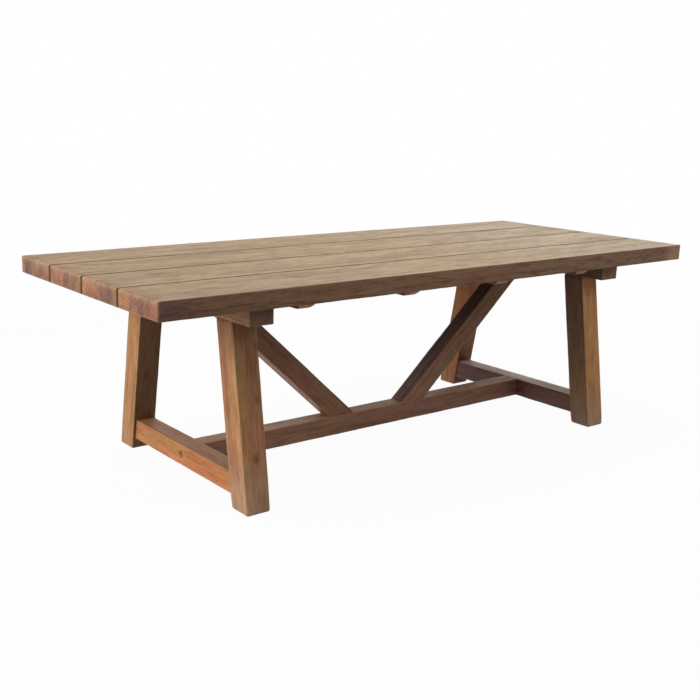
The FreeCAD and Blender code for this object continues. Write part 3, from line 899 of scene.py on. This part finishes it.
def head_beam(side_name, sign_x, index):
    """A bearer, with a counterbore for each of its coach screws."""
    name = "bearer_" + side_name
    low, high = corners(name)
    made = straight("head_beam_" + side_name, low, high, Y, Z, BEARER_EASE,
                    500 + 20 * index, BEARER_ARRISES)
    pockets = []
    for row in ROWS:
        across = sum(corners("top_plank_" + row))[1] / 2
        pockets.append((((low[0] + high[0]) / 2, across, low[2]), -Z, SCREW_POCKET))
    pockets.append((outer_middle(low, high, sign_x), sign_x * X, SCREW_POCKET))
    drill(made.piece, pockets)
    timber(made, name, BEARER_FINISH[side_name], 50 + index)


def low_rail(side_name, sign_x, index):
    """An end rail with leaning shoulders between two legs, and its bolt's counterbore."""
    name = "end_rail_" + side_name
    low, high = corners(name)
    middle, size = (low + high) / 2, high - low
    leg_low, leg_high = corners("leg_back_right")
    inner = leg_high[1] - (leg_high[0] - leg_low[0]) / math.cos(LEG_SPLAY)
    shoulder = Y * (inner + SEAT)
    lean = Y * math.cos(LEG_SPLAY) + Z * math.sin(LEG_SPLAY)
    mirror = 1 - 2 * Y
    made = beam("low_rail_" + side_name, middle, Y, Z, (size[2], size[0]),
                [(shoulder * mirror, lean * mirror)], [(shoulder, lean)], SHOULDER_EASE,
                520 + 20 * index)
    drill(made.piece, [(outer_middle(low, high, sign_x), sign_x * X, BOLT_POCKET)])
    timber(made, name, RAIL_FINISH[side_name], 60 + index, gloss=RAIL_GLOSS[side_name])


def trestles():
    """The two ends of the frame: each has two legs, a bearer and a rail."""
    for index, (side_name, sign_x) in enumerate(SIDES):
        for turn, (end_name, sign_y) in enumerate(ENDS):
            post(side_name, end_name, sign_y, 2 * index + turn)
        head_beam(side_name, sign_x, index)
        low_rail(side_name, sign_x, index)


def long_stretcher():
    """The stretcher between the rails, with pockets for brace screws and barrel nuts."""
    low, high = corners("stretcher")
    rail_inner = corners("end_rail_right")[0][0]
    screw_x = corners("brace_foot_screws")[1][0] - SCREW_HEAD_FLATS / math.sqrt(3)
    low[0], high[0] = -rail_inner - SEAT, rail_inner + SEAT
    made = straight("long_stretcher", low, high, X, Y, SHOULDER_EASE, 600)
    holes = ((screw_x, SCREW_POCKET), (rail_inner - BARREL_NUT_INSET, NUT_POCKET))
    drill(made.piece, [((sign_x * offset, 0, low[2]), -Z, size)
                       for _, sign_x in SIDES for offset, size in holes])
    timber(made, "stretcher", STRETCHER_FINISH, 70)


def braces():
    """The braces, each from the stretcher up to its bearer and the planks."""
    stretcher_top = corners("stretcher")[1][2]
    bearer_low, bearer_high = corners("bearer_right")
    for index, (side_name, sign_x) in enumerate(SIDES):
        low, high = corners("brace_" + side_name)
        heel = min(abs(low[0]), abs(high[0]))
        run, rise = bearer_low[0] - heel, bearer_low[2] - stretcher_top
        angle = math.atan2(rise, run) + math.asin(BRACE_DEPTH / math.hypot(rise, run))
        outward = sign_x * X
        along = outward * math.cos(angle) + Z * math.sin(angle)
        downward = outward * math.sin(angle) - Z * math.cos(angle)
        origin = outward * heel + Z * stretcher_top + downward * BRACE_DEPTH / 2
        near = [(Z * (stretcher_top - SEAT), Z)]
        far = [(Z * bearer_high[2], Z), (outward * (bearer_low[0] + SEAT), outward)]
        made = beam("slant_" + side_name, origin, along, Y, (high[1] - low[1], BRACE_DEPTH), near, far,
                    SHOULDER_EASE, 640 + 20 * index)
        timber(made, "brace_" + side_name, BRACE_FINISH[side_name], 80 + index)


def screw_places():
    """The places of the battens' screws: two for each plank on each batten."""
    found = []
    for batten in BATTENS:
        low, high = corners("batten_" + batten)
        for row in ROWS:
            plank_low, plank_high = corners("top_plank_" + row)
            for share in SCREW_SHARES:
                across = plank_low[1] + share * (plank_high[1] - plank_low[1])
                across = np.clip(across, low[1] + SCREW_INSET, high[1] - SCREW_INSET)
                found.append(np.array([(low[0] + high[0]) / 2, across, low[2]]))
    return found


def batten_screws(zinc):
    """The countersunk heads of the battens' screws, as one piece.

    One head is a profile of radii and depths carried once round its axis, and all heads are
    that surface moved to their places.
    """
    turn = np.arange(HEAD_SIDES) * 2 * np.pi / HEAD_SIDES
    ring = np.stack([np.cos(turn), np.sin(turn), np.zeros(HEAD_SIDES)], axis=-1)
    head = HEAD_RADII[:, None, None] * ring + HEAD_DEPTHS[:, None, None] * Z
    heads = [grid_mesh("screw", (head + place)[:, ::-1]) for place in screw_places()]
    with bpy.context.temp_override(active_object=heads[0], selected_editable_objects=heads):
        bpy.ops.object.join()
    whole = heads[0]
    whole.name = whole.data.name = "batten_screws"
    whole.data.materials.append(zinc)
    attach(whole, "root")


# -------- steel and plugs

def zinc_group():
    """Dull zinc plating: cloudy spangle, small dark specks and scuffs."""
    tree, given = new_group("dull_zinc", {"Place": (0, 0, 0)})
    cloud = noise(tree, given["Place"], (160, 160, 160), 4, 0.6)[0]
    speck = ramp(tree, noise(tree, given["Place"], (900, 900, 900), 1)[0], 0.62, 0.74)
    scuff = noise(tree, given["Place"], (2500, 300, 300), 2)[0]
    body = mix(tree, ramp(tree, cloud, 0.3, 0.7), colour(150, 150, 147), colour(208, 208, 202))
    body = mix(tree, times(tree, speck, 0.7), body, colour(96, 78, 62))
    rough = weighted(tree, (cloud, 0.25), (scuff, 0.15), (speck, 0.2), (1.0, 0.28))
    height = weighted(tree, (cloud, 0.4), (scuff, 0.3), (speck, -0.5))
    node(tree, "NodeGroupOutput", {"Color": body, "Roughness": rough, "Height": height})
    return tree


def plug_material():
    """End-grain teak plugs, each with a dark spot of painted shade a little off its middle."""
    low, high = corners("rail_plugs")
    height = (low[2] + high[2]) / 2
    settings = {
        "Shift": (5.0, 7.0, 9.0), "Pith": (0, 6 * MM, -height),
        **tones((190, 138, 104), (96, 56, 40), (206, 154, 122)),
        "Worn": colour(214, 164, 132), "Worn Ends": colour(214, 164, 132),
        # painted shade of the counterbore: a dark spot beside each plug's middle
        "Knot A": (low[0], 4 * MM, height), "Knot B": (high[0], 4 * MM, height),
        "Weathering": 0.0, "Blotches": 0.2}
    return grouped_material("teak_plug_end_grain", TEAK, settings, PLUG_RELIEF, FRAME_GLOSS)


def repaint(node_name, material):
    """Gives a construction node that stays in view its material."""
    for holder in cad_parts[node_name].material_slots:
        holder.material = material


# -------- stage, light and camera

WHITE = (1, 1, 1, 1)
WORLD_LIGHT = 0.1  # of the background on the table, beside 1 for its looks
FLOOR_HALF = 30.0
FLOOR_SHOW = 0.96  # how much of the floor beside the table shows as plain white
SHADOW_REACH = (2.0, 4.5)  # where the table's shadow starts to fade, and where it is gone
LAMPS = (  # name, place, target, size and watts
    ("left", (-3.4, -0.2, 1.5), (-0.8, 0, 0.4), (2.4, 1.2), 57),
    ("back_left", (-2.8, 1.6, 1.9), (-0.8, 0, 0.4), (1.6, 1.4), 16),
    ("overhead", (1.2, 0.5, 3.0), (0.8, 0, 0.7), (3.0, 2.4), 60),
    ("front_right", (0.8, -2.9, 2.6), (0.2, -0.3, 0.3), (2.6, 1.4), 30),
)
FOCAL_PIXELS = 1014.5
IMAGE_PIXELS = 700
IMAGE_CENTRE = (298.6, 344.6)  # where the camera's axis meets the picture
SENSOR = 36.0
CAMERA_PLACE = (-2.592, -2.9685, 1.2987)
CAMERA_YAW, CAMERA_PITCH, CAMERA_ROLL = 0.6401, -0.2338, 0.0215


def seen_directly(tree):
    """One for rays that show the background or its mirror image, and nought for others."""
    path = node(tree, "LightPath").outputs
    kinds = ("Is Camera Ray", "Is Glossy Ray", "Is Transmission Ray")
    return maths(tree, "MINIMUM", weighted(tree, *((path[kind], 1.0) for kind in kinds)), 1.0)


def floor_material():
    """A pale matt floor, nearly white with a faint shadow, and clear from beneath."""
    made, tree = new_material("pale_floor")
    place = node(tree, "TexCoord").outputs["Object"]
    speckle = noise(tree, place, (90, 90, 90), 3)[0]
    bounced = mix(tree, speckle, colour(158, 157, 155), colour(164, 163, 161))
    tint = mix(tree, seen_directly(tree), bounced, colour(250, 250, 249))
    paint = node(tree, "BsdfPrincipled", {"Base Color": tint, "Roughness": 0.9,
                                          "Specular IOR Level": 0.1})
    glow = node(tree, "Emission", {"Color": WHITE, "Strength": 1.0})
    away = ramp(tree, vectors(tree, "LENGTH", place), *SHADOW_REACH, FLOOR_SHOW, 1.0)
    share = times(tree, seen_directly(tree), away)
    above = node(tree, "MixShader", {0: share, 1: paint.outputs[0], 2: glow.outputs[0]})
    clear = node(tree, "BsdfTransparent")
    beneath = node(tree, "NewGeometry").outputs["Backfacing"]
    whole = node(tree, "MixShader", {0: beneath, 1: above.outputs[0], 2: clear.outputs[0]})
    node(tree, "OutputMaterial", {"Surface": whole.outputs[0]})
    return made


def add_floor():
    """A wide level sheet under the table."""
    mesh = bpy.data.meshes.new("floor")
    vertices = [(x * FLOOR_HALF, y * FLOOR_HALF, 0) for x, y in ((-1, -1), (1, -1), (1, 1), (-1, 1))]
    mesh.from_pydata(vertices, [], [(0, 1, 2, 3)])
    mesh.materials.append(floor_material())
    floor = add_object("floor", mesh)


def add_world():
    """A background that looks white and lights the table only faintly."""
    world = bpy.data.worlds.new("studio")
    scene.world = world
    world.use_nodes = True
    tree = world.node_tree
    tree.nodes.clear()
    strength = maths(tree, "MULTIPLY_ADD", seen_directly(tree), 1.0 - WORLD_LIGHT, WORLD_LIGHT)
    light = node(tree, "Background", {"Color": WHITE, "Strength": strength})
    node(tree, "OutputWorld", {"Surface": light.outputs[0]})


def add_lamp(name, place, target, size, watts):
    """A rectangular lamp that looks at a target and isn't seen itself."""
    lamp = bpy.data.lights.new(name, "AREA")
    lamp.shape = "RECTANGLE"
    lamp.size, lamp.size_y = size
    lamp.energy = watts
    made = add_object(name, lamp)
    made.location = place
    made.rotation_euler = (Vector(target) - Vector(place)).to_track_quat("-Z", "Y").to_euler()
    made.visible_camera = False


def add_camera():
    """The camera, whose axis meets the picture beside its middle."""
    lens = bpy.data.cameras.new("camera")
    lens.sensor_width = SENSOR
    lens.lens = FOCAL_PIXELS / IMAGE_PIXELS * SENSOR
    lens.shift_x = (IMAGE_PIXELS / 2 - IMAGE_CENTRE[0]) / IMAGE_PIXELS
    lens.shift_y = (IMAGE_CENTRE[1] - IMAGE_PIXELS / 2) / IMAGE_PIXELS
    camera = add_object("camera", lens)
    camera.matrix_world = Matrix.Translation(CAMERA_PLACE)
    for angle, axis in ((-CAMERA_YAW, "Z"), (math.pi / 2 + CAMERA_PITCH, "X"), (CAMERA_ROLL, "Z")):
        camera.matrix_world @= Matrix.Rotation(angle, 4, axis)
    scene.camera = camera


# -------- the table and its scene

planks()
cleats()
trestles()
long_stretcher()
braces()

zinc = grouped_material("dull_zinc_plating", zinc_group(), {}, ZINC_RELIEF, ZINC_GLOSS, metallic=1.0)
for steel_name in STEEL:
    repaint(steel_name, zinc)
repaint("rail_plugs", plug_material())
batten_screws(zinc)

add_floor()
add_world()
for lamp_row in LAMPS:
    add_lamp(*lamp_row)
add_camera()
scene.view_settings.view_transform = "Standard"
